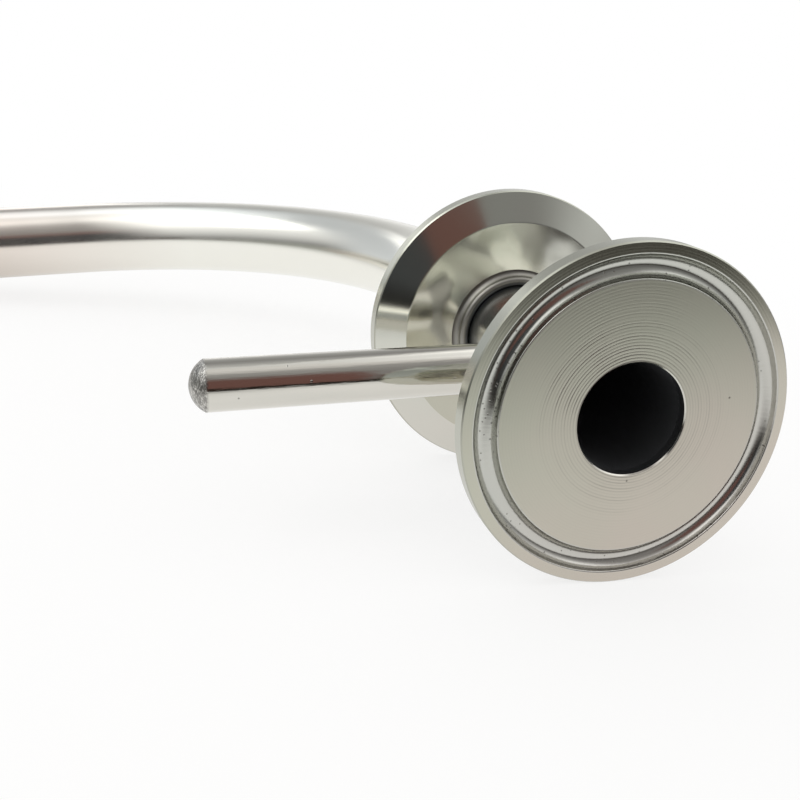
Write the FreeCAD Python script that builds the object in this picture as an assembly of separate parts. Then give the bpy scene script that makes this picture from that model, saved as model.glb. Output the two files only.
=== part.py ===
import FreeCAD, Part
import math
import os

# Bent dip tube for a tank port, welded up from stainless steel: a thin tube runs through two
# clamp ferrules on one axis and then bends to one side, and a round rod on the tube, between
# the ferrules, points the way that the hidden arm turns. Millimetres and degrees.
#
# Own frame: the ferrules share the Y axis and the origin is the centre of the tank ferrule's
# sealing face. +Y runs into the tank, the arm bends towards -X and +Z is up. The finished part
# is then turned about Y to lie as it rests, on both rims and on the low edge of the arm's end.

# Clamp ferrules, both of the 50.5 mm size
rim_diameter = 50.5
rim_thickness = 2.85
bevel_angle = 20.0
hub_diameter = 40.0
hub_round = 0.8
rim_edge = 0.2
face_spacing = 51.5

# Gasket groove in each sealing face
groove_diameter = 43.6
groove_width = 3.34
groove_depth = 1.6
groove_lip = 0.2

# Tube
tube_diameter = 18.0
tube_wall = 0.7
tube_clearance = 0.05
socket_depth = 3.0
mouth_edge = 0.2
bend_start = 39.0
bend_radius = 77.0
bend_angle = 90.0
tail_length = 63.0
tube_edge = 0.3

# Pointer rod
rod_diameter = 8.0
rod_reach = 58.2
rod_from_face = 27.4
rod_askew = 2.2
rod_dome = 2.3

# Ring welds: each has a hollow foot that runs out on the ferrule's back, a steep side and a
# rounded top that ends on the tube. Reaches are measured out from the tube, heights from the
# ferrule's back, and the hollow from the straight line between foot and side. Then come the
# groove that the flush weld in the tank ferrule's face fills, and the fillet round the rod's root.
weld_reach = 2.6
weld_foot_hollow = 0.3
weld_side_reach = 1.5
weld_side_height = 1.2
weld_top_height = 1.8
weld_tube_height = 1.35
inner_weld_groove = 1.2
rod_weld_leg = 1.5

rim_radius = rim_diameter / 2
tube_radius = tube_diameter / 2
lumen_radius = tube_radius - tube_wall
bore_radius = tube_radius + tube_clearance
rod_radius = rod_diameter / 2
bevel_height = (rim_diameter - hub_diameter) / 2 * math.tan(math.radians(bevel_angle))
ferrule_thickness = rim_thickness + bevel_height
valve_face = -face_spacing
rod_height = valve_face + rod_from_face
origin = FreeCAD.Vector(0, 0, 0)
along_y = FreeCAD.Vector(0, 1, 0)
up = FreeCAD.Vector(0, 0, 1)


def point(radius, y):
    return FreeCAD.Vector(radius, y, 0)


def line(start, end):
    return Part.makeLine(start, end)


def arc(start, middle, end):
    return Part.Arc(start, middle, end).toShape()


def turned(edges):
    """Solid of revolution about Y from a closed outline drawn at radius x and height y."""
    outline = Part.Wire(Part.sortEdges(edges)[0])
    return Part.Face(outline).revolve(origin, along_y, 360)


def ring_edges(solid, radius, y):
    """The full circles of a turned piece at one radius and height."""
    found = []
    for edge in solid.Edges:
        if not isinstance(edge.Curve, Part.Circle):
            continue
        centre = edge.Curve.Center
        if abs(edge.Curve.Radius - radius) < 1e-4 and abs(centre.y - y) < 1e-4:
            found.append(edge)
    return found


def clamp_ferrule(face_y, back, hole_radius):
    """Ferrule with its sealing face at face_y; back is +1 or -1, the side of its bevel."""
    groove_in = (groove_diameter - groove_width) / 2
    groove_out = (groove_diameter + groove_width) / 2
    rim_back = face_y + back * rim_thickness
    hub_back = face_y + back * ferrule_thickness
    face_bore = point(hole_radius, face_y)
    lip_in = point(groove_in, face_y)
    groove_bottom = point(groove_diameter / 2, face_y + back * groove_depth)
    lip_out = point(groove_out, face_y)
    rim_front_corner = point(rim_radius, face_y)
    rim_back_corner = point(rim_radius, rim_back)
    hub_corner = point(hub_diameter / 2, hub_back)
    back_bore = point(hole_radius, hub_back)
    solid = turned([
        line(face_bore, lip_in),
        arc(lip_in, groove_bottom, lip_out),
        line(lip_out, rim_front_corner),
        line(rim_front_corner, rim_back_corner),
        line(rim_back_corner, hub_corner),
        line(hub_corner, back_bore),
        line(back_bore, face_bore),
    ])
    lips = ring_edges(solid, groove_in, face_y) + ring_edges(solid, groove_out, face_y)
    solid = solid.makeFillet(groove_lip, lips)
    solid = solid.makeFillet(hub_round, ring_edges(solid, hub_diameter / 2, hub_back))
    rim_edges = ring_edges(solid, rim_radius, face_y) + ring_edges(solid, rim_radius, rim_back)
    return solid.makeChamfer(rim_edge, rim_edges)


def make_valve_ferrule():
    """Bored to the tube's inside, with a socket in its back that the tube's end seats in."""
    solid = clamp_ferrule(valve_face, 1, lumen_radius)
    solid = solid.makeChamfer(mouth_edge, ring_edges(solid, lumen_radius, valve_face))
    socket_floor = valve_face + ferrule_thickness - socket_depth
    socket = Part.makeCylinder(bore_radius, socket_depth, FreeCAD.Vector(0, socket_floor, 0), along_y)
    return solid.cut(socket)


def make_tank_ferrule():
    """Bored to let the tube pass right through it, with a groove for the weld in its face."""
    solid = clamp_ferrule(0, -1, bore_radius)
    return solid.makeChamfer(inner_weld_groove, ring_edges(solid, bore_radius, 0))


def tube_solid(radius):
    """Round bar along the tube's centre line: straight run, bend and straight tail."""
    start_y = valve_face + ferrule_thickness - socket_depth
    straight = Part.makeCylinder(radius, bend_start - start_y, FreeCAD.Vector(0, start_y, 0), along_y)
    section = Part.Face(Part.Wire(Part.makeCircle(radius, bend_begin(), along_y)))
    bend = section.revolve(bend_centre(), up, bend_angle)
    tail = Part.makeCylinder(radius, tail_length, bend_end(), arm_direction())
    return straight.fuse([bend, tail]).removeSplitter()


def bend_begin():
    return FreeCAD.Vector(0, bend_start, 0)


def bend_centre():
    return FreeCAD.Vector(-bend_radius, bend_start, 0)


def bend_end():
    turn = math.radians(bend_angle)
    return bend_centre() + FreeCAD.Vector(math.cos(turn), math.sin(turn), 0) * bend_radius


def arm_direction():
    turn = math.radians(bend_angle)
    return FreeCAD.Vector(-math.sin(turn), math.cos(turn), 0)


def arm_end():
    return bend_end() + arm_direction() * tail_length


def make_dip_tube():
    """One thin-walled tube, cut square at both ends, with its open end broken inside and out."""
    solid = tube_solid(tube_radius).cut(tube_solid(lumen_radius))
    mouth = []
    for edge in solid.Edges:
        if isinstance(edge.Curve, Part.Circle) and (edge.Curve.Center - arm_end()).Length < 1e-3:
            mouth.append(edge)
    return solid.makeChamfer(tube_edge, mouth)


def tube_passage():
    """The straight run's outside, cut out of what is welded onto the tube."""
    start = FreeCAD.Vector(0, valve_face, 0)
    return Part.makeCylinder(tube_radius, face_spacing + bend_start, start, along_y)


def rod_root():
    return FreeCAD.Vector(0, rod_height, 0)


def rod_direction():
    """Towards the arm, but welded on a little askew, turned up about the ferrules' axis."""
    turn = math.radians(rod_askew)
    return FreeCAD.Vector(-math.cos(turn), 0, math.sin(turn))


def rod_bar(radius):
    """Round bar from the tube's axis to the rod's free end."""
    return Part.makeCylinder(radius, rod_reach, rod_root(), rod_direction())


def make_pointer_rod():
    """Round rod, its root shaped to the tube and its free end ground to a low dome."""
    dome_radius = (rod_radius ** 2 + rod_dome ** 2) / (2 * rod_dome)
    dome_centre = rod_root() + rod_direction() * (rod_reach - dome_radius)
    half_way = (rod_direction() + along_y * (rod_radius / dome_radius)).normalize()
    tip = dome_centre + rod_direction() * dome_radius
    side_root = rod_root() + along_y * rod_radius
    side_end = tip - rod_direction() * rod_dome + along_y * rod_radius
    outline = Part.Wire([
        line(rod_root(), side_root),
        line(side_root, side_end),
        arc(side_end, dome_centre + half_way * dome_radius, tip),
        line(tip, rod_root()),
    ])
    solid = Part.Face(outline).revolve(rod_root(), rod_direction(), 360)
    return solid.cut(tube_passage())


def ring_weld(plate_y, side):
    """Weld bead round the tube on a ferrule's back; side is +1 or -1, the way it stands off."""
    corner = point(tube_radius, plate_y)
    foot = point(tube_radius + weld_reach, plate_y)
    shoulder = point(tube_radius + weld_side_reach, plate_y + side * weld_side_height)
    chord = shoulder - foot
    inwards = FreeCAD.Vector(-abs(chord.y), side * chord.x, 0).normalize()
    foot_middle = (foot + shoulder) / 2 + inwards * weld_foot_hollow
    top = point(tube_radius + weld_side_reach / 2, plate_y + side * weld_top_height)
    tube_toe = point(tube_radius, plate_y + side * weld_tube_height)
    return turned([
        line(corner, foot),
        arc(foot, foot_middle, shoulder),
        arc(shoulder, top, tube_toe),
        line(tube_toe, corner),
    ])


def make_valve_weld():
    return ring_weld(valve_face + ferrule_thickness, 1)


def make_tank_weld():
    return ring_weld(-ferrule_thickness, -1)


def make_tank_side_weld():
    """Fills the groove round the tube, ground flush with the sealing face."""
    corners = [
        point(tube_radius, 0),
        point(bore_radius + inner_weld_groove, 0),
        point(bore_radius, -inner_weld_groove),
        point(tube_radius, -inner_weld_groove),
    ]
    return turned([line(corners[k - 1], corners[k]) for k in range(4)])


def make_rod_weld():
    """Fillet round the rod's root, its skirt cut to the tube's round side."""
    toe_radius = rod_radius + rod_weld_leg
    drop = tube_radius - math.sqrt(tube_radius ** 2 - toe_radius ** 2)
    height = drop + rod_weld_leg
    foot = rod_root() + rod_direction() * (tube_radius - drop)
    skirt = Part.makeCone(rod_radius + height, rod_radius, height, foot, rod_direction())
    return skirt.cut([rod_bar(rod_radius), tube_passage()])


def rest_angle():
    """How far the arm dips, in degrees, until its end touches the surface under the rims."""
    along = arm_direction()
    lip = arm_end() - along * tube_edge
    low, high = 0.0, 45.0
    for _ in range(60):
        dip = (low + high) / 2
        slope = math.sin(math.radians(dip))
        level = math.cos(math.radians(dip))
        depth = tube_radius * math.hypot(along.y * slope, level) - lip.x * slope
        if depth < rim_radius:
            low = dip
        else:
            high = dip
    return dip


pieces = {
    "valve_ferrule": make_valve_ferrule(),
    "tank_ferrule": make_tank_ferrule(),
    "dip_tube": make_dip_tube(),
    "pointer_rod": make_pointer_rod(),
    "valve_weld": make_valve_weld(),
    "tank_weld": make_tank_weld(),
    "tank_side_weld": make_tank_side_weld(),
    "rod_weld": make_rod_weld(),
}

os.makedirs("parts", exist_ok=True)
arm_dip = rest_angle()
for name, shape in pieces.items():
    shape.rotate(origin, along_y, -arm_dip)
    shape.exportStep("parts/" + name + ".step")
    print(name, "valid", shape.isValid(), "solids", len(shape.Solids), "volume", round(shape.Volume, 1))
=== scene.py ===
import math

import bpy
from mathutils import Matrix, Vector


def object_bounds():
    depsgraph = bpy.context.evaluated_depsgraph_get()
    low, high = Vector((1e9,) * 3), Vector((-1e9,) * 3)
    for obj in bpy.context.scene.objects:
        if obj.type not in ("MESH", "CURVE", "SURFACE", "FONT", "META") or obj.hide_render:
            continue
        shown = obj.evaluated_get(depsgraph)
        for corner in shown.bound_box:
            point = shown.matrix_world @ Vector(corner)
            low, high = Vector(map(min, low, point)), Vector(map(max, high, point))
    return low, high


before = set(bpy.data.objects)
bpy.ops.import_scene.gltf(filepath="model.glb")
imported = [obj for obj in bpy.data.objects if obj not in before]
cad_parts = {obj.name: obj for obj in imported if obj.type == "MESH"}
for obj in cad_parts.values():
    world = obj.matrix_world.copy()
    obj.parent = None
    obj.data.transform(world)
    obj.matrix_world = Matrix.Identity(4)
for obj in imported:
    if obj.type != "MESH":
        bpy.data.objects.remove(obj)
cad_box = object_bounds()
MM = 0.001

# Sizes of the part that the finishes follow, in millimetres. The ferrules and the tube's straight
# run share the Y axis, and the tank ferrule's sealing face lies in the plane y = 0.
FACE_SPACING = 51.5
FERRULE_THICKNESS = 4.76
RIM_THICKNESS = 2.85
RIM_RADIUS = 25.25
HUB_RADIUS = 20.0
GROOVE_IN = 20.13
GROOVE_OUT = 23.47
GROOVE_DEPTH = 1.6
BORE_RADIUS = 8.3
TUBE_RADIUS = 9.0
WELD_RADIUS = 11.6
BEND_START = 39.0
BEND_RADIUS = 77.0
ROD_REACH = 58.2
ROD_DOME = 2.3

# Angles at which the rod and the arm lie, in degrees
ROD_ASKEW = 2.2
ARM_DIP = 6.705

# How far the tube's flat facets may lie off the true round, in millimetres
FACET_SAG = 0.06

# The lathe's feed, which is how far apart the rings on a sealing face are, in millimetres, and the
# direction from the bore, as x and z, in which the photograph shows them strongest
FEED_PITCH = 0.45
RINGS_STRONGEST = (-0.57, 0.82, 0.0)

# Depths of the marks in the metal, in millimetres
FEED_DEPTH = 0.024
BUFFING_DEPTH = 0.005
FERRULE_SWELL_DEPTH = 0.12
PIT_DEPTH = 0.03
DRAWN_LINE_DEPTH = 0.003
TUBE_SWELL_DEPTH = 0.15
HAIR_DEPTH = 0.012
NICK_DEPTH = 0.05
RIPPLE_DEPTH = 0.03
BRUSHING_DEPTH = 0.006

# Where most of the pits in the valve ferrule's groove sit, and how far round they reach
PITTED_PLACE = (-21.6, -50.3, 1.0)
PITTED_REACH = 7.0

# Colours that more than one finish uses
WHITE = "#FFFFFF"
# A dark grey that the pits and nicks are darkened with
MARK_DARK = "#4A4742"
# A dark grey for the insides of the bores and the tube: painted shade
INSIDE_PAINTED_SHADE = "#85878A"

# The photograph's camera: place in millimetres, turn in degrees, lens and sensor in millimetres
CAMERA_PLACE = (-69.696, -170.188, 42.836)
CAMERA_TURN = (73.879, -6.397, -18.541)
CAMERA_LENS = 45.779
CAMERA_SENSOR = 36.0
CAMERA_SHIFT = (-0.08139, -0.03353)

# How far the front edge of the studio's paper is turned from the X axis, in degrees
PAPER_SKEW = 36.0

# Brightness of the even light from all round, of the lamp, and of the room as polished metal shows it
EVEN_LIGHT = 0.88
LAMP_RADIANCE = 1.45
ROOM_BRIGHTNESS = 1.45

# Settings that many nodes share. A Mix node of colours has them at inputs 6 and 7 and at output 2.
SMOOTH = {"interpolation_type": "SMOOTHSTEP"}
TIMES = {"operation": "MULTIPLY"}
TIMES_PLUS = {"operation": "MULTIPLY_ADD"}
VECTOR_LENGTH = {"operation": "LENGTH"}
COLOURS = {"data_type": "RGBA"}
ONE_DIMENSION = {"noise_dimensions": "1D"}


def linear(hex_colour):
    """The linear colour that an sRGB hex value stands for."""
    shares = [int(hex_colour[k:k + 2], 16) / 255 for k in (1, 3, 5)]
    return [s / 12.92 if s <= 0.04045 else ((s + 0.055) / 1.055) ** 2.4 for s in shares] + [1.0]


def add_node(tree, kind, settings=None, inputs=None):
    """Adds a node, sets its properties, and gives its sockets values or links from other nodes."""
    node = tree.nodes.new(kind)
    for name, value in (settings or {}).items():
        setattr(node, name, value)
    for name, value in (inputs or {}).items():
        if isinstance(value, bpy.types.Node):
            tree.links.new(value.outputs[0], node.inputs[name])
        elif isinstance(value, bpy.types.NodeSocket):
            tree.links.new(value, node.inputs[name])
        else:
            node.inputs[name].default_value = value
    return node


def new_material(name):
    """An empty node material; returns it with its tree and its output node."""
    material = bpy.data.materials.new(name)
    material.use_nodes = True
    material.node_tree.nodes.clear()
    return material, material.node_tree, add_node(material.node_tree, "ShaderNodeOutputMaterial")


def place_in_mm(tree, lifted=0.0):
    """The place on the piece in millimetres, turned back by the angle at which it lies."""
    place = add_node(tree, "ShaderNodeTexCoord").outputs["Object"]
    return add_node(tree, "ShaderNodeMapping", None,
                    {"Vector": place, "Rotation": (0.0, math.radians(lifted), 0.0), "Scale": (1 / MM,) * 3})


def off_axis(tree, apart):
    """The place across the ferrules' axis, as x and z, and its distance from that axis."""
    across = add_node(tree, "ShaderNodeCombineXYZ", None, {0: apart.outputs[0], 1: apart.outputs[2]})
    return across, add_node(tree, "ShaderNodeVectorMath", VECTOR_LENGTH, {0: across}).outputs["Value"]


def from_middle(tree, apart):
    """How far along the axis a point lies from midway between the two sealing faces."""
    past = add_node(tree, "ShaderNodeMath", {"operation": "ADD"}, {0: apart.outputs[1], 1: FACE_SPACING / 2})
    return add_node(tree, "ShaderNodeMath", {"operation": "ABSOLUTE"}, {0: past})


def in_layers(tree, colour, layers):
    """The first colour with others laid over it in turn, each by its own mask."""
    for mask, over in layers:
        colour = add_node(tree, "ShaderNodeMix", COLOURS, {0: mask, 6: colour, 7: over}).outputs[2]
    return colour


def steel_surface(tree, output, colour, roughness, normal):
    """Bare metal with the given colour, roughness and normal, as the material's surface."""
    steel = add_node(tree, "ShaderNodeBsdfPrincipled", None,
                     {"Base Color": colour, "Metallic": 1.0, "Roughness": roughness, "Normal": normal})
    tree.links.new(steel.outputs[0], output.inputs[0])


def ferrule_steel(name, face_y, back):
    """304 stainless turned from bar on a lathe: grey, faintly green and pink, with satin rings.

    The cutter's feed leaves rings on the sealing face, strongest near the bore and at its upper
    left. The gasket groove is buffed across and pitted in one place, and the back, bevel and rim
    are polished, so they mirror what stands round them, a little unevenly.
    """
    material, tree, output = new_material(name)
    place = place_in_mm(tree)
    apart = add_node(tree, "ShaderNodeSeparateXYZ", None, {0: place})
    height = apart.outputs[2]
    across, radius = off_axis(tree, apart)
    around = add_node(tree, "ShaderNodeMath", {"operation": "ARCTAN2"}, {0: height, 1: apart.outputs[0]})
    depth = add_node(tree, "ShaderNodeMath", TIMES_PLUS, {0: apart.outputs[1], 1: back, 2: -back * face_y})

    # Each zone is where all its bands are full; a band goes from 0 at its first limit to 1 at its
    # second. All are in millimetres, and depth is measured from the sealing face.
    on_face = (depth, 0.05, 0.01)
    on_back = (depth, FERRULE_THICKNESS - 0.3, FERRULE_THICKNESS - 0.1)
    within_hub = (radius, HUB_RADIUS, HUB_RADIUS - 0.2)
    zone = {}
    for part, bands in (
        ("groove", ((radius, GROOVE_IN - 0.3, GROOVE_IN - 0.1),
                    (radius, GROOVE_OUT + 0.3, GROOVE_OUT + 0.1),
                    (depth, GROOVE_DEPTH + 0.3, GROOVE_DEPTH + 0.1))),
        ("bevel", ((radius, HUB_RADIUS - 0.2, HUB_RADIUS), (depth, RIM_THICKNESS - 0.1, RIM_THICKNESS))),
        ("plate", (within_hub, on_back)),
        ("low plate shade", (within_hub, on_back, (height, -3.0, -9.0))),
        ("rim", ((radius, RIM_RADIUS - 0.25, RIM_RADIUS - 0.15),)),
        ("face", (on_face,)),
        ("inner face", (on_face, (radius, GROOVE_IN, GROOVE_IN - 0.2))),
        ("bore", ((radius, BORE_RADIUS + 0.1, BORE_RADIUS + 0.05), (depth, 0.2, 0.4))),
    ):
        zone[part] = 1.0
        for value, start, full in bands:
            share = add_node(tree, "ShaderNodeMapRange", SMOOTH, {"Value": value, 1: start, 2: full})
            zone[part] = add_node(tree, "ShaderNodeMath", TIMES, {0: share, 1: zone[part]})

    # Feed marks: one narrow cut to each turn of the lathe, over finer marks 0.2 mm apart. The cuts
    # are shallower outwards and away from their strongest direction, and uneven from ring to ring
    # and from place to place.
    unsteady = add_node(tree, "ShaderNodeTexNoise", None, {"Vector": place, "Scale": 0.08, "Detail": 1.0})
    feed = add_node(tree, "ShaderNodeMath", TIMES_PLUS, {0: unsteady, 1: 0.3, 2: radius})
    feed_place = add_node(tree, "ShaderNodeCombineXYZ", None, {0: feed})
    turns = add_node(tree, "ShaderNodeTexWave", None,
                     {"Vector": feed_place, "Scale": math.pi / 10 / FEED_PITCH,
                      "Distortion": 0.5, "Detail": 1.0})
    cuts = add_node(tree, "ShaderNodeMapRange", SMOOTH, {"Value": turns, 1: 0.4, 2: 1.0})
    outwards = add_node(tree, "ShaderNodeMapRange", SMOOTH,
                        {"Value": radius, 1: BORE_RADIUS - 1.3, 2: HUB_RADIUS - 3.0, 3: 1.1, 4: 0.11})
    ring_noise = add_node(tree, "ShaderNodeTexNoise", ONE_DIMENSION, {"W": feed, "Scale": 1.1, "Detail": 1.0})
    ring_to_ring = add_node(tree, "ShaderNodeMapRange", None,
                            {"Value": ring_noise, 1: 0.35, 2: 0.65, 3: 0.4, 4: 1.3})
    place_noise = add_node(tree, "ShaderNodeTexNoise", None, {"Vector": place, "Scale": 0.1, "Detail": 2.0})
    place_to_place = add_node(tree, "ShaderNodeMapRange", None,
                              {"Value": place_noise, 1: 0.38, 2: 0.6, 3: 0.45, 4: 1.0})
    upper_left = add_node(tree, "ShaderNodeVectorMath", {"operation": "DOT_PRODUCT"},
                          {0: across, 1: RINGS_STRONGEST}).outputs["Value"]
    towards = add_node(tree, "ShaderNodeMath", {"operation": "DIVIDE"}, {0: upper_left, 1: radius})
    sector = add_node(tree, "ShaderNodeMapRange", SMOOTH, {"Value": towards, 1: 0.5, 2: 1.0, 3: 0.5, 4: 1.6})
    deep = cuts
    for factor in (outwards, ring_to_ring, place_to_place, sector, zone["inner face"]):
        deep = add_node(tree, "ShaderNodeMath", TIMES, {0: deep, 1: factor})
    fine = add_node(tree, "ShaderNodeTexNoise", ONE_DIMENSION,
                    {"W": feed, "Scale": 5.0, "Detail": 2.0, "Roughness": 0.7})
    rings = add_node(tree, "ShaderNodeMath", TIMES_PLUS, {0: fine, 1: 0.2, 2: deep})
    ringed = add_node(tree, "ShaderNodeBump", {"invert": True},
                      {"Strength": zone["face"], "Distance": FEED_DEPTH * MM, "Height": rings})

    # Buffing strokes across the groove, 0.3 mm apart, seen as faint radial lines
    stroke_place = add_node(tree, "ShaderNodeMath", TIMES, {0: around, 1: GROOVE_OUT / 0.3})
    strokes = add_node(tree, "ShaderNodeTexNoise", ONE_DIMENSION,
                       {"W": stroke_place, "Scale": 0.5, "Detail": 2.0})
    buffed = add_node(tree, "ShaderNodeBump", None,
                      {"Strength": zone["groove"], "Distance": BUFFING_DEPTH * MM, "Height": strokes,
                       "Normal": ringed})

    # Polishing leaves the back and, less so, the bevel wavy, with soft swells 6 to 10 mm long
    swells = add_node(tree, "ShaderNodeTexNoise", None, {"Vector": place, "Scale": 0.13, "Detail": 1.0})
    smooth_parts = add_node(tree, "ShaderNodeMath", TIMES_PLUS, {0: zone["bevel"], 1: 0.25, 2: zone["plate"]})
    wavy = add_node(tree, "ShaderNodeBump", None,
                    {"Strength": smooth_parts, "Distance": FERRULE_SWELL_DEPTH * MM, "Height": swells,
                     "Normal": buffed})

    # Pits: a cluster of specks 0.1 to 0.2 mm across in the groove, and a few 0.3 mm ones elsewhere.
    # A cell of the pattern keeps its speck when its own random colour is below the chance.
    away = add_node(tree, "ShaderNodeVectorMath", {"operation": "DISTANCE"}, {0: place, 1: PITTED_PLACE})
    pitted = add_node(tree, "ShaderNodeMapRange", SMOOTH,
                      {"Value": away.outputs["Value"], 1: PITTED_REACH, 2: 1.0, 3: 0.12, 4: 0.75})
    pits = 0.0
    for scale, size, chance, where in (
        (1.4, 0.18, pitted, zone["groove"]),
        (0.14, 0.03, 0.14, zone["face"]),
    ):
        cells = add_node(tree, "ShaderNodeTexVoronoi", {"voronoi_dimensions": "2D"},
                         {"Vector": across, "Scale": scale})
        speck = add_node(tree, "ShaderNodeMapRange", SMOOTH,
                         {"Value": cells.outputs["Distance"], 1: size, 2: size * 0.4})
        draw = add_node(tree, "ShaderNodeSeparateColor", None, {0: cells.outputs["Color"]})
        kept = add_node(tree, "ShaderNodeMath", {"operation": "LESS_THAN"}, {0: draw.outputs[0], 1: chance})
        kept = add_node(tree, "ShaderNodeMath", TIMES, {0: kept, 1: where})
        pits = add_node(tree, "ShaderNodeMath", TIMES_PLUS, {0: speck, 1: kept, 2: pits})
    normal = add_node(tree, "ShaderNodeBump", {"invert": True},
                      {"Strength": 0.6, "Distance": PIT_DEPTH * MM, "Height": pits, "Normal": wavy})

    # The metal's hue drifts at random, and over that it is painted faintly green at the upper left and
    # faintly pink at the lower right, a painted warm reflection.
    # The low side of the back, under the rod, is painted darker: painted shade and reflection of the rod.
    clouds = add_node(tree, "ShaderNodeTexNoise", None, {"Vector": place, "Scale": 0.06, "Detail": 2.0})
    hue_drift_and_painted_pink = add_node(tree, "ShaderNodeMath", TIMES_PLUS, {0: clouds, 1: 40.0, 2: upper_left})
    hue_drift_and_painted_pink = add_node(tree, "ShaderNodeMapRange", None, {"Value": hue_drift_and_painted_pink, 1: 36.0, 2: 0.0})
    colour = in_layers(tree, linear("#CED0C6"), ((hue_drift_and_painted_pink, linear("#D3CEC6")),))
    for mask, greener, pinker in (
        (zone["face"], "#BCBDAE", "#C4BCB1"),
        # In the feed cuts the colour is darker: painted shade in the cuts
        (deep, "#98958D", "#98958D"),
        (zone["groove"], "#C1C2BB", "#C4C1BB"),
        (zone["plate"], "#EAEBE0", "#EDEAE2"),
        # Under the rod the back is painted darker, as painted shade and reflection of the rod
        (zone["low plate shade"], "#BFBFB0", "#C2BEB1"),
        (zone["rim"], "#B2B3A7", "#B6B2A8"),
        # The bore is darkened as painted shade
        (zone["bore"], INSIDE_PAINTED_SHADE, INSIDE_PAINTED_SHADE),
    ):
        tone = in_layers(tree, linear(greener), ((hue_drift_and_painted_pink, linear(pinker)),))
        colour = in_layers(tree, colour, ((mask, tone),))
    # The pits are darker in colour
    mark_darkening = add_node(tree, "ShaderNodeMath", TIMES, {0: pits, 1: 0.6})
    colour = in_layers(tree, colour, ((mark_darkening, linear(MARK_DARK)),))

    roughness = 0.11
    for mask, more in (
        (zone["face"], 0.05),
        (zone["inner face"], 0.16),
        (zone["groove"], 0.06),
        (zone["rim"], 0.12),
        (zone["bore"], 0.3),
        (unsteady, 0.03),
    ):
        roughness = add_node(tree, "ShaderNodeMath", TIMES_PLUS, {0: mask, 1: more, 2: roughness})
    steel_surface(tree, output, colour, roughness, normal)
    return material


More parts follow.
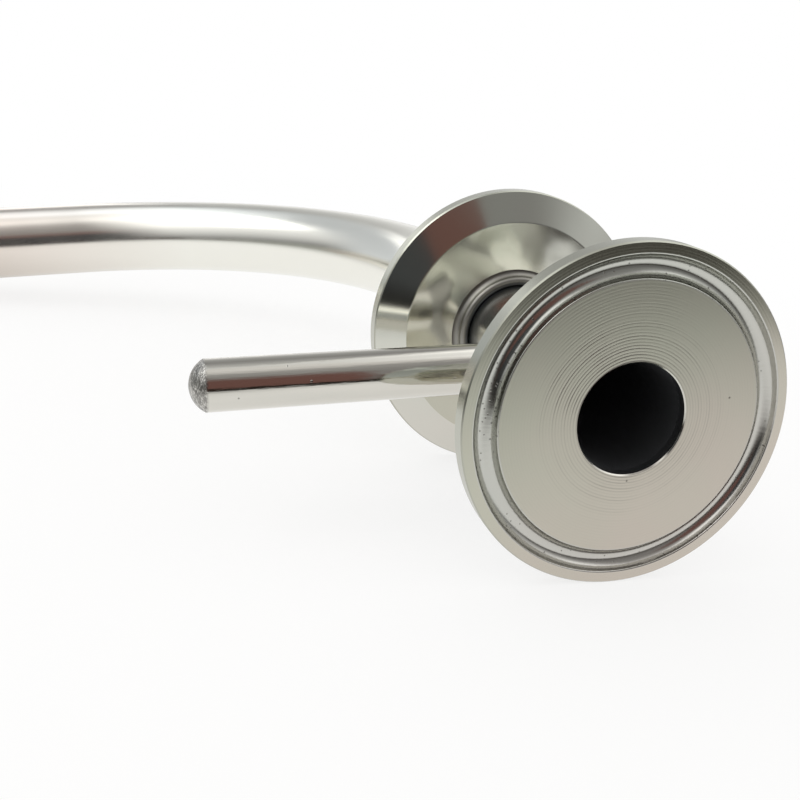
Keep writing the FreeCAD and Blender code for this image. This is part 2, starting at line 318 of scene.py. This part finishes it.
def tube_steel():
    """Thin 304 stainless tube, drawn, bent and polished by hand: a bright, softly blurred mirror.

    Drawing leaves faint lines along the tube, and bending and polishing leave long soft swells.
    The inside is as it was drawn, matt, and its colour is darkened as painted shade.
    """
    material, tree, output = new_material("drawn_tube")
    place = place_in_mm(tree, ARM_DIP)
    apart = add_node(tree, "ShaderNodeSeparateXYZ", None, {0: place})
    # The level place seen from the bend's centre, held at nought on the two straight runs, so that
    # its length less the bend's radius is how far outside the centre line a point lies all along
    held = []
    for value, shift in ((apart.outputs[0], BEND_RADIUS), (apart.outputs[1], -BEND_START)):
        shifted = add_node(tree, "ShaderNodeMath", {"operation": "ADD"}, {0: value, 1: shift})
        held.append(add_node(tree, "ShaderNodeMath", {"operation": "MAXIMUM"}, {0: shifted, 1: 0.0}))
    from_centre = add_node(tree, "ShaderNodeCombineXYZ", None, {0: held[0], 1: held[1]})
    reach = add_node(tree, "ShaderNodeVectorMath", VECTOR_LENGTH, {0: from_centre}).outputs["Value"]
    outside = add_node(tree, "ShaderNodeMath", {"operation": "SUBTRACT"}, {0: reach, 1: BEND_RADIUS})
    outside_share = add_node(tree, "ShaderNodeMath", {"operation": "DIVIDE"}, {0: outside, 1: reach})
    level = add_node(tree, "ShaderNodeVectorMath", {"operation": "SCALE"},
                     {0: from_centre, "Scale": outside_share})
    height = add_node(tree, "ShaderNodeCombineXYZ", None, {2: apart.outputs[2]})
    offset = add_node(tree, "ShaderNodeVectorMath", {"operation": "ADD"}, {0: level, 1: height})
    section = add_node(tree, "ShaderNodeVectorMath", VECTOR_LENGTH, {0: offset}).outputs["Value"]
    inside = add_node(tree, "ShaderNodeMapRange", None,
                      {"Value": section, 1: TUBE_RADIUS - 0.1, 2: BORE_RADIUS + 0.1})

    # The mesh's facets are shaded as the true round: outwards on the outside, inwards on the inside
    # wall, and as the mesh has it on the cut ends between the two
    outwards = add_node(tree, "ShaderNodeVectorMath", {"operation": "NORMALIZE"}, {0: offset})
    outwards = add_node(tree, "ShaderNodeMapping", None,
                        {"Vector": outwards, "Rotation": (0.0, -math.radians(ARM_DIP), 0.0)})
    inwards = add_node(tree, "ShaderNodeVectorMath", {"operation": "SCALE"}, {0: outwards, "Scale": -1.0})
    rounded = add_node(tree, "ShaderNodeNewGeometry").outputs["Normal"]
    for comparison, limit, round_normal in (
        ("GREATER_THAN", TUBE_RADIUS - FACET_SAG, outwards),
        ("LESS_THAN", BORE_RADIUS + FACET_SAG, inwards),
    ):
        on_wall = add_node(tree, "ShaderNodeMath", {"operation": comparison}, {0: section, 1: limit})
        rounded = add_node(tree, "ShaderNodeMix", {"data_type": "VECTOR"},
                           {0: on_wall, 4: rounded, 5: round_normal}).outputs[1]

    # Lines along the tube, 0.3 mm apart, drawn coarser than the real ones so that they show at all
    drawn_place = add_node(tree, "ShaderNodeCombineXYZ", None, {0: reach, 1: apart.outputs[2]})
    lines = add_node(tree, "ShaderNodeTexNoise", {"noise_dimensions": "2D"},
                     {"Vector": drawn_place, "Scale": 3.0, "Detail": 2.0, "Roughness": 0.6})
    lined = add_node(tree, "ShaderNodeBump", None,
                     {"Strength": 1.0, "Distance": DRAWN_LINE_DEPTH * MM, "Height": lines, "Normal": rounded})
    # Swells, about 20 mm long
    swells = add_node(tree, "ShaderNodeTexNoise", None, {"Vector": place, "Scale": 0.05, "Detail": 1.0})
    normal = add_node(tree, "ShaderNodeBump", None,
                      {"Strength": 1.0, "Distance": TUBE_SWELL_DEPTH * MM, "Height": swells, "Normal": lined})

    # The arm is faintly pink from its polishing, and the bend and the straight run are whiter.
    # Between the ferrules it is painted darker, as painted shade between the two plates, and the welds' heat
    # has blued its ends.
    along_arm = add_node(tree, "ShaderNodeMapRange", None, {"Value": apart.outputs[0], 1: -100.0, 2: -50.0})
    shaded_between_ferrules = add_node(tree, "ShaderNodeMapRange", SMOOTH, {"Value": apart.outputs[1], 1: 1.0, 2: -1.0})
    heated = add_node(tree, "ShaderNodeMapRange", SMOOTH,
                      {"Value": from_middle(tree, apart), 1: 12.0, 2: 19.0})
    heated = add_node(tree, "ShaderNodeMath", TIMES, {0: heated, 1: shaded_between_ferrules})
    colour = in_layers(tree, linear("#E2D8CF"), (
        (along_arm, linear("#F1F0E8")),
        (shaded_between_ferrules, linear("#CBC9C3")),
        (heated, linear("#84888C")),
        # Inside, the colour is darkened as painted shade
        (inside, linear(INSIDE_PAINTED_SHADE)),
    ))
    haze = add_node(tree, "ShaderNodeTexNoise", None, {"Vector": place, "Scale": 0.09, "Detail": 3.0})
    roughness = add_node(tree, "ShaderNodeMapRange", None, {"Value": haze, 1: 0.3, 2: 0.7, 3: 0.18, 4: 0.23})
    roughness = add_node(tree, "ShaderNodeMath", TIMES_PLUS, {0: inside, 1: 0.3, 2: roughness})
    steel_surface(tree, output, colour, roughness, normal)
    return material


def rod_steel():
    """Bright-ground round bar: a clear mirror with hair scratches, its free end shaped on a grinder.

    The grinder's coarse strokes cross each other on the dome, and a few dents mark the side.
    """
    material, tree, output = new_material("ground_rod")
    place = place_in_mm(tree, ARM_DIP - ROD_ASKEW)
    apart = add_node(tree, "ShaderNodeSeparateXYZ", None, {0: place})
    dome_start = ROD_DOME - ROD_REACH
    domed = add_node(tree, "ShaderNodeMapRange", SMOOTH,
                     {"Value": apart.outputs[0], 1: dome_start + 0.4, 2: dome_start - 0.2})
    on_side = add_node(tree, "ShaderNodeMath", {"operation": "SUBTRACT"}, {0: 1.0, 1: domed})

    # Hair scratches along the bar, 0.15 mm wide and up to 12 mm long
    stretched = add_node(tree, "ShaderNodeMapping", None, {"Vector": place, "Scale": (0.08, 1.0, 1.0)})
    hairs = add_node(tree, "ShaderNodeTexNoise", None,
                     {"Vector": stretched, "Scale": 4.0, "Detail": 2.0, "Roughness": 0.6})
    normal = add_node(tree, "ShaderNodeBump", None,
                      {"Strength": on_side, "Distance": HAIR_DEPTH * MM, "Height": hairs})

    # Grinding strokes on the dome: two sets that cross, each stroke 0.2 mm wide and eight times as
    # long, with its turn in degrees and its depth in millimetres. They run 0.4 mm onto the side, and
    # the metal is dark in them.
    clear = 1.0
    for turn, depth in ((12, 0.10), (-38, 0.07)):
        crossed = add_node(tree, "ShaderNodeMapping", {"vector_type": "TEXTURE"},
                           {"Vector": place, "Rotation": (math.radians(turn), 0.0, 0.0),
                            "Scale": (1.0, 1.0, 8.0)})
        strokes = add_node(tree, "ShaderNodeTexNoise", None,
                           {"Vector": crossed, "Scale": 4.5, "Detail": 2.0, "Roughness": 0.6})
        normal = add_node(tree, "ShaderNodeBump", None,
                          {"Strength": domed, "Distance": depth * MM, "Height": strokes, "Normal": normal})
        between = add_node(tree, "ShaderNodeMapRange", None,
                           {"Value": strokes, 1: 0.4, 2: 0.58, 3: 0.35, 4: 1.0})
        clear = add_node(tree, "ShaderNodeMath", TIMES, {0: clear, 1: between})

    # Nicks: dark marks up to 0.4 mm across, a dozen in all
    cells = add_node(tree, "ShaderNodeTexVoronoi", None, {"Vector": place, "Scale": 0.25})
    nicks = add_node(tree, "ShaderNodeMapRange", SMOOTH,
                     {"Value": cells.outputs["Distance"], 1: 0.055, 2: 0.025})
    normal = add_node(tree, "ShaderNodeBump", {"invert": True},
                      {"Strength": 0.7, "Distance": NICK_DEPTH * MM, "Height": nicks, "Normal": normal})

    tint = add_node(tree, "ShaderNodeTexNoise", None, {"Vector": stretched, "Scale": 0.5, "Detail": 2.0})
    ground = in_layers(tree, linear("#55534F"), ((clear, linear("#D5D3CD")),))
    # The nicks are darker in colour
    mark_darkening = add_node(tree, "ShaderNodeMath", TIMES, {0: nicks, 1: 0.6})
    colour = in_layers(tree, linear("#DBD7CF"), (
        (tint, linear("#CDCCC4")),
        (domed, ground),
        (mark_darkening, linear(MARK_DARK)),
    ))
    roughness = add_node(tree, "ShaderNodeMath", TIMES_PLUS, {0: domed, 1: 0.18, 2: 0.05})
    roughness = add_node(tree, "ShaderNodeMath", TIMES_PLUS, {0: hairs, 1: 0.06, 2: roughness})
    steel_surface(tree, output, colour, roughness, normal)
    return material


def weld_steel():
    """Stainless weld bead, brushed smooth: greyer than the plate, with painted shade where it runs out on it.
    """
    material, tree, output = new_material("brushed_weld")
    place = place_in_mm(tree)
    apart = add_node(tree, "ShaderNodeSeparateXYZ", None, {0: place})
    radius = off_axis(tree, apart)[1]

    # Freezing ripples, 1.2 mm apart, nearly brushed away, and the brush's own fine marks
    ripples = add_node(tree, "ShaderNodeTexNoise", None, {"Vector": place, "Scale": 0.8, "Detail": 1.0})
    rippled = add_node(tree, "ShaderNodeBump", None,
                       {"Strength": 1.0, "Distance": RIPPLE_DEPTH * MM, "Height": ripples})
    marks = add_node(tree, "ShaderNodeTexNoise", None, {"Vector": place, "Scale": 5.0, "Detail": 2.0})
    normal = add_node(tree, "ShaderNodeBump", None,
                      {"Strength": 1.0, "Distance": BRUSHING_DEPTH * MM, "Height": marks, "Normal": rippled})

    # Only the ring welds, 15 mm and more from the middle, have a toe on a plate; the rod's has none
    toe = add_node(tree, "ShaderNodeMapRange", SMOOTH,
                   {"Value": radius, 1: WELD_RADIUS - 0.7, 2: WELD_RADIUS - 0.1, 3: 0.0, 4: 0.75})
    by_plate = add_node(tree, "ShaderNodeMath", {"operation": "GREATER_THAN"},
                        {0: from_middle(tree, apart), 1: 15.0})
    toe = add_node(tree, "ShaderNodeMath", TIMES, {0: toe, 1: by_plate})
    # Where the bead runs out on a plate it is darker: painted shade in the crease
    colour = in_layers(tree, linear("#8D8B85"), ((toe, linear("#4E4A45")),))
    roughness = add_node(tree, "ShaderNodeMapRange", None, {"Value": marks, 3: 0.28, 4: 0.38})
    steel_surface(tree, output, colour, roughness, normal)
    return material


def in_mirrors(tree, path):
    """1 for the rays that a mirror or clear glass sends on, and 0 for all others."""
    return add_node(tree, "ShaderNodeMath", {"operation": "MAXIMUM"},
                    {0: path.outputs["Is Glossy Ray"], 1: path.outputs["Is Transmission Ray"]})


def glow_by_share(tree, output, share, colour, strength):
    """A glow where the share is 1, and nothing to be seen where it is 0."""
    clear = add_node(tree, "ShaderNodeBsdfTransparent")
    glow = add_node(tree, "ShaderNodeEmission", None, {"Color": colour, "Strength": strength})
    mixed = add_node(tree, "ShaderNodeMixShader", None, {0: share, 1: clear, 2: glow})
    tree.links.new(mixed.outputs[0], output.inputs[0])


def paper_finish():
    """Matt white paper sweep: it glows white and keeps a faint shadow round the object."""
    material, tree, output = new_material("white_paper")
    path = add_node(tree, "ShaderNodeLightPath")
    place = add_node(tree, "ShaderNodeTexCoord").outputs["Object"]
    away = add_node(tree, "ShaderNodeVectorMath", {"operation": "DISTANCE"},
                    {0: place, 1: (-0.05, 0.03, cad_box[0].z)})
    # Near the object it glows a little less, for the camera and in mirrors
    share = 0.0
    for rays, near in ((path.outputs["Is Camera Ray"], 0.75), (in_mirrors(tree, path), 0.8)):
        glowing = add_node(tree, "ShaderNodeMapRange", SMOOTH,
                           {"Value": away.outputs["Value"], 1: 0.10, 2: 0.30, 3: near, 4: 1.0})
        share = add_node(tree, "ShaderNodeMath", TIMES_PLUS, {0: rays, 1: glowing, 2: share})
    paper = add_node(tree, "ShaderNodeBsdfDiffuse", None, {"Color": linear("#FFFEFC")})
    glow = add_node(tree, "ShaderNodeEmission", None, {"Color": linear(WHITE), "Strength": 1.0})
    mixed = add_node(tree, "ShaderNodeMixShader", None, {0: share, 1: paper, 2: glow})
    tree.links.new(mixed.outputs[0], output.inputs[0])
    return material


def card_finish(name, foot_colour, top_colour, strength, top, fade):
    """Card that shows in polished metal only, and fades out below its top edge."""
    material, tree, output = new_material(name)
    place = add_node(tree, "ShaderNodeTexCoord").outputs["Object"]
    height = add_node(tree, "ShaderNodeSeparateXYZ", None, {0: place}).outputs[2]
    share = add_node(tree, "ShaderNodeMapRange", SMOOTH, {"Value": height, 1: top, 2: top - fade})
    up_card = add_node(tree, "ShaderNodeMapRange", None, {"Value": height, 1: -0.01, 2: 0.02})
    colour = in_layers(tree, linear(foot_colour), ((up_card, linear(top_colour)),))
    glow_by_share(tree, output, share, colour, strength)
    return material


def room_floor_finish():
    """The room beyond the paper, as polished metal shows it: dim all round, darkest in front."""
    material, tree, output = new_material("room_floor")
    place = add_node(tree, "ShaderNodeTexCoord").outputs["Object"]
    sideways = add_node(tree, "ShaderNodeSeparateXYZ", None, {0: place}).outputs[0]
    away = add_node(tree, "ShaderNodeVectorMath", {"operation": "DISTANCE"},
                    {0: place, 1: (0.05, -0.02, cad_box[0].z)})
    # The paper's front edge runs askew: the paper reaches further forward on the right
    skew = math.radians(PAPER_SKEW)
    forward = add_node(tree, "ShaderNodeVectorMath", {"operation": "DOT_PRODUCT"},
                       {0: place, 1: (-math.sin(skew), -math.cos(skew), 0.0)})
    past = {}
    for edge, value, start, full in (
        ("round", away.outputs["Value"], 0.165, 0.275),
        ("front", forward.outputs["Value"], 0.065, 0.18),
        ("left", sideways, -0.40, -0.25),
        ("right", sideways, 0.35, 0.25),
    ):
        past[edge] = add_node(tree, "ShaderNodeMapRange", SMOOTH, {"Value": value, 1: start, 2: full})
    darkest = add_node(tree, "ShaderNodeMath", TIMES, {0: past["left"], 1: past["right"]})
    darkest = add_node(tree, "ShaderNodeMath", TIMES, {0: darkest, 1: past["front"]})
    share = add_node(tree, "ShaderNodeMath", {"operation": "MAXIMUM"}, {0: darkest, 1: past["round"]})
    colour = in_layers(tree, linear("#92948E"), ((darkest, linear("#2E2723")),))
    glow_by_share(tree, output, share, colour, 1.0)
    return material


def studio_world():
    """White for the camera, even for matt surfaces, and a studio with a dim front for polished ones."""
    world = bpy.data.worlds.new("studio")
    bpy.context.scene.world = world
    world.use_nodes = True
    tree = world.node_tree
    tree.nodes.clear()
    output = add_node(tree, "ShaderNodeOutputWorld")
    way = add_node(tree, "ShaderNodeTexCoord").outputs["Generated"]
    level_way = add_node(tree, "ShaderNodeVectorMath", TIMES, {0: way, 1: (1.0, 1.0, 0.0)})
    level_way = add_node(tree, "ShaderNodeVectorMath", {"operation": "NORMALIZE"}, {0: level_way})
    height = add_node(tree, "ShaderNodeSeparateXYZ", None, {0: way}).outputs[2]
    height = add_node(tree, "ShaderNodeMath", {"operation": "ARCSINE"}, {0: height})
    height = add_node(tree, "ShaderNodeMath", TIMES, {0: height, 1: 2 / math.pi})

    # Brightness by height, 0 at the horizon and 1 overhead: all round, then in three sectors, each
    # with a bearing, a full half-width and a faded one, in degrees from -Y towards +X
    side = ((0.0, 0.15), (0.06, 0.27), (0.11, 0.38), (0.22, 0.55), (0.31, 0.64), (0.4, 0.93),
            (0.75, 1.0), (0.86, 0.72), (1.0, 0.57))
    front = ((0.0, 0.12), (0.15, 0.14), (0.25, 0.19), (0.46, 0.21), (0.65, 0.28), (0.75, 0.5),
             (0.86, 0.62), (1.0, 0.57))
    behind = ((0.0, 0.5), (0.08, 0.45), (0.3, 0.4), (0.45, 0.36), (0.52, 0.39), (0.65, 0.83),
              (0.8, 1.0), (1.0, 0.57))
    far_end = ((0.0, 0.75), (0.15, 0.6), (0.3, 0.38), (0.45, 0.28), (0.62, 0.22), (0.78, 0.32),
               (0.9, 0.42), (1.0, 0.57))
    room = None
    for stops, tint, bearing, full, faded in (
        (side, (1.0, 1.0, 1.0), 0, 0, 0),
        (front, (1.0, 0.98, 0.965), 8, 18, 52),
        (behind, (0.96, 1.0, 1.05), -155, 25, 50),
        (far_end, (1.0, 1.0, 1.0), 172, 12, 30),
    ):
        ramp = add_node(tree, "ShaderNodeValToRGB", None, {0: height})
        elements = ramp.color_ramp.elements
        while len(elements) < len(stops):
            elements.new(0.5)
        for element, (at, level) in zip(elements, stops):
            element.position = at
            element.color = [level * share for share in tint] + [1.0]
        if room is None:
            room = ramp.outputs[0]
            continue
        middle = (math.sin(math.radians(bearing)), -math.cos(math.radians(bearing)), 0.0)
        facing = add_node(tree, "ShaderNodeVectorMath", {"operation": "DOT_PRODUCT"},
                          {0: level_way, 1: middle}).outputs["Value"]
        share = add_node(tree, "ShaderNodeMapRange", SMOOTH,
                         {"Value": facing, 1: math.cos(math.radians(faded)), 2: math.cos(math.radians(full))})
        room = in_layers(tree, room, ((share, ramp.outputs[0]),))
    seen = add_node(tree, "ShaderNodeBackground", None, {0: linear(WHITE), 1: EVEN_LIGHT})
    path = add_node(tree, "ShaderNodeLightPath")
    for rays, sky, strength in (
        (in_mirrors(tree, path), room, ROOM_BRIGHTNESS),
        (path.outputs["Is Camera Ray"], linear(WHITE), 1.0),
    ):
        background = add_node(tree, "ShaderNodeBackground", None, {0: sky, 1: strength})
        seen = add_node(tree, "ShaderNodeMixShader", None, {0: rays, 1: seen, 2: background})
    tree.links.new(seen.outputs[0], output.inputs[0])


def soft_box(name, place, target, size, radiance):
    """A square lamp that faces its target; radiance is its brightness in a mirror."""
    light = bpy.data.lights.new(name, "AREA")
    light.shape = "SQUARE"
    light.size = size
    light.energy = radiance * math.pi * size * size
    lamp = bpy.data.objects.new(name, light)
    bpy.context.scene.collection.objects.link(lamp)
    lamp.location = place
    lamp.rotation_euler = (Vector(target) - Vector(place)).to_track_quat("-Z", "Y").to_euler()


def stage_plane(name, low, high, material):
    """A flat stage piece between two corners, level or upright and facing along Y."""
    centre = (Vector(low) + Vector(high)) / 2
    span = Vector(high) - Vector(low)
    bpy.ops.object.select_all(action="DESELECT")
    bpy.ops.mesh.primitive_plane_add(size=1)
    plane = bpy.context.object
    plane.name = name
    if span.z == 0:
        plane.data.transform(Matrix.Diagonal((span.x, span.y, 1, 1)))
    else:
        plane.data.transform(Matrix.Rotation(math.radians(90), 4, "X"))
        plane.data.transform(Matrix.Diagonal((span.x, 1, span.z, 1)))
    plane.data.transform(Matrix.Translation(centre))
    plane.data.materials.append(material)
    return plane


def mirror_only(plane):
    """Makes a stage piece show only in polished metal: it is unseen and casts no shadow."""
    plane.visible_camera = False
    plane.visible_diffuse = False
    plane.visible_shadow = False
    plane.visible_transmission = False
    plane.visible_volume_scatter = False


def make_stage():
    """White paper with one lamp over it, and the room and cards that only polished metal shows."""
    floor_z = cad_box[0].z
    over_floor = floor_z + 0.0005
    stage_plane("paper", (-3, -3, floor_z), (3, 3, floor_z), paper_finish())
    mirror_only(stage_plane("room_floor", (-3, -3, over_floor), (3, 3, over_floor), room_floor_finish()))
    # Cards: colours at foot and top, strength, two corners in metres, and over what height they fade
    for name, foot, top, strength, low, high, fade in (
        ("dim_upstand", "#2E2723", "#4A3F39", 1.0, (-0.45, -0.32, floor_z), (0.30, -0.32, 0.02), 0.01),
        ("warm_front", "#4A3F39", "#74544E", 1.0, (-0.225, -0.31, 0.0), (0.03, -0.31, 0.32), 0.17),
        ("dark_front", "#232221", "#46484A", 1.0, (-0.185, -0.176, floor_z), (-0.058, -0.176, 0.13), 0.03),
        ("bright_back", WHITE, WHITE, 1.4, (-0.24, 0.60, 0.0), (-0.09, 0.60, 0.34), 0.08),
    ):
        mirror_only(stage_plane(name, low, high, card_finish(name, foot, top, strength, high[2], fade)))
    soft_box("overhead", (-0.9, 0.1, 1.0), (-0.05, 0.03, 0.0), 0.7, LAMP_RADIANCE)


def make_camera():
    """The photograph's camera, fitted to the part's outlines in it."""
    data = bpy.data.cameras.new("camera")
    data.lens = CAMERA_LENS
    data.sensor_width = CAMERA_SENSOR
    data.shift_x, data.shift_y = CAMERA_SHIFT
    data.clip_start = 0.005
    camera = bpy.data.objects.new("camera", data)
    bpy.context.scene.collection.objects.link(camera)
    camera.location = Vector(CAMERA_PLACE) * MM
    camera.rotation_euler = [math.radians(angle) for angle in CAMERA_TURN]
    bpy.context.scene.camera = camera


def dress(node_name, material):
    """Gives a piece of the frame its finish."""
    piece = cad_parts[node_name]
    piece.data.materials.clear()
    piece.data.materials.append(material)


make_camera()
studio_world()
make_stage()
dress("valve_ferrule", ferrule_steel("turned_valve_ferrule", -FACE_SPACING, 1))
dress("tank_ferrule", ferrule_steel("turned_tank_ferrule", 0.0, -1))
dress("dip_tube", tube_steel())
dress("pointer_rod", rod_steel())
weld_finish = weld_steel()
for weld in ("valve_weld", "tank_weld", "tank_side_weld", "rod_weld"):
    dress(weld, weld_finish)

bpy.context.scene.view_settings.view_transform = "Standard"
